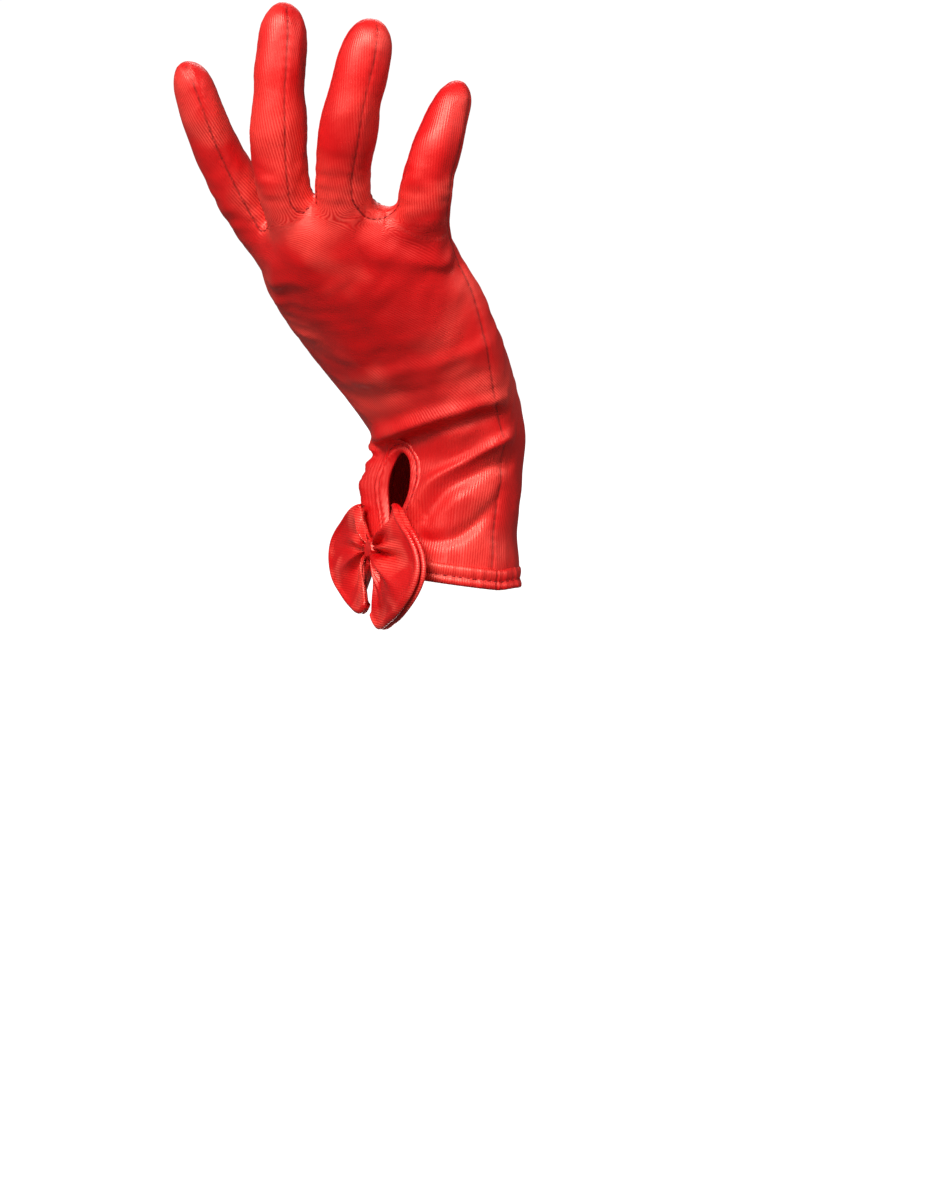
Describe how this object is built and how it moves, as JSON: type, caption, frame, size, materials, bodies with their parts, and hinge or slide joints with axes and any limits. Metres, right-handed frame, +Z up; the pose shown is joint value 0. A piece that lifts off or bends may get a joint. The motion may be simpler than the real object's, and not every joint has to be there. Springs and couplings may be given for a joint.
{
  "type": "wrist length dress glove",
  "caption": "Short right-hand dress glove in red satin, bent back at the wrist, with strips between the fingers, a teardrop opening on the back of the wrist, a turned hem and a bow.",
  "frame": {"origin": "centre of the wrist opening, in the plane of the hem", "axes": "+Z runs up the cuff towards the fingers, -Y is the back of the hand, +X is the little finger side"},
  "size_m": [0.0836, 0.1338, 0.1948],
  "materials": {
    "hand_satin": "glossy red stretch satin with a fine rib",
    "hem_satin": "the same satin, turned double and stitched",
    "binding_satin": "the same satin, bound and stitched",
    "bow_satin": "smoother red satin, gathered",
    "tab_satin": "plain red satin"
  },
  "bodies": {
    "root": {"back_panel": "hand_satin", "palm_panel": "hand_satin", "fourchette_index_middle": "hand_satin", "fourchette_middle_ring": "hand_satin", "fourchette_ring_little": "hand_satin", "thumb_piece": "hand_satin", "cuff_hem": "hem_satin", "keyhole_binding": "binding_satin", "bow_wing_thumb_side": "bow_satin", "bow_wing_little_side": "bow_satin", "bow_knot": "bow_satin", "closure_tab": "tab_satin"}
  },
  "joints": []
}
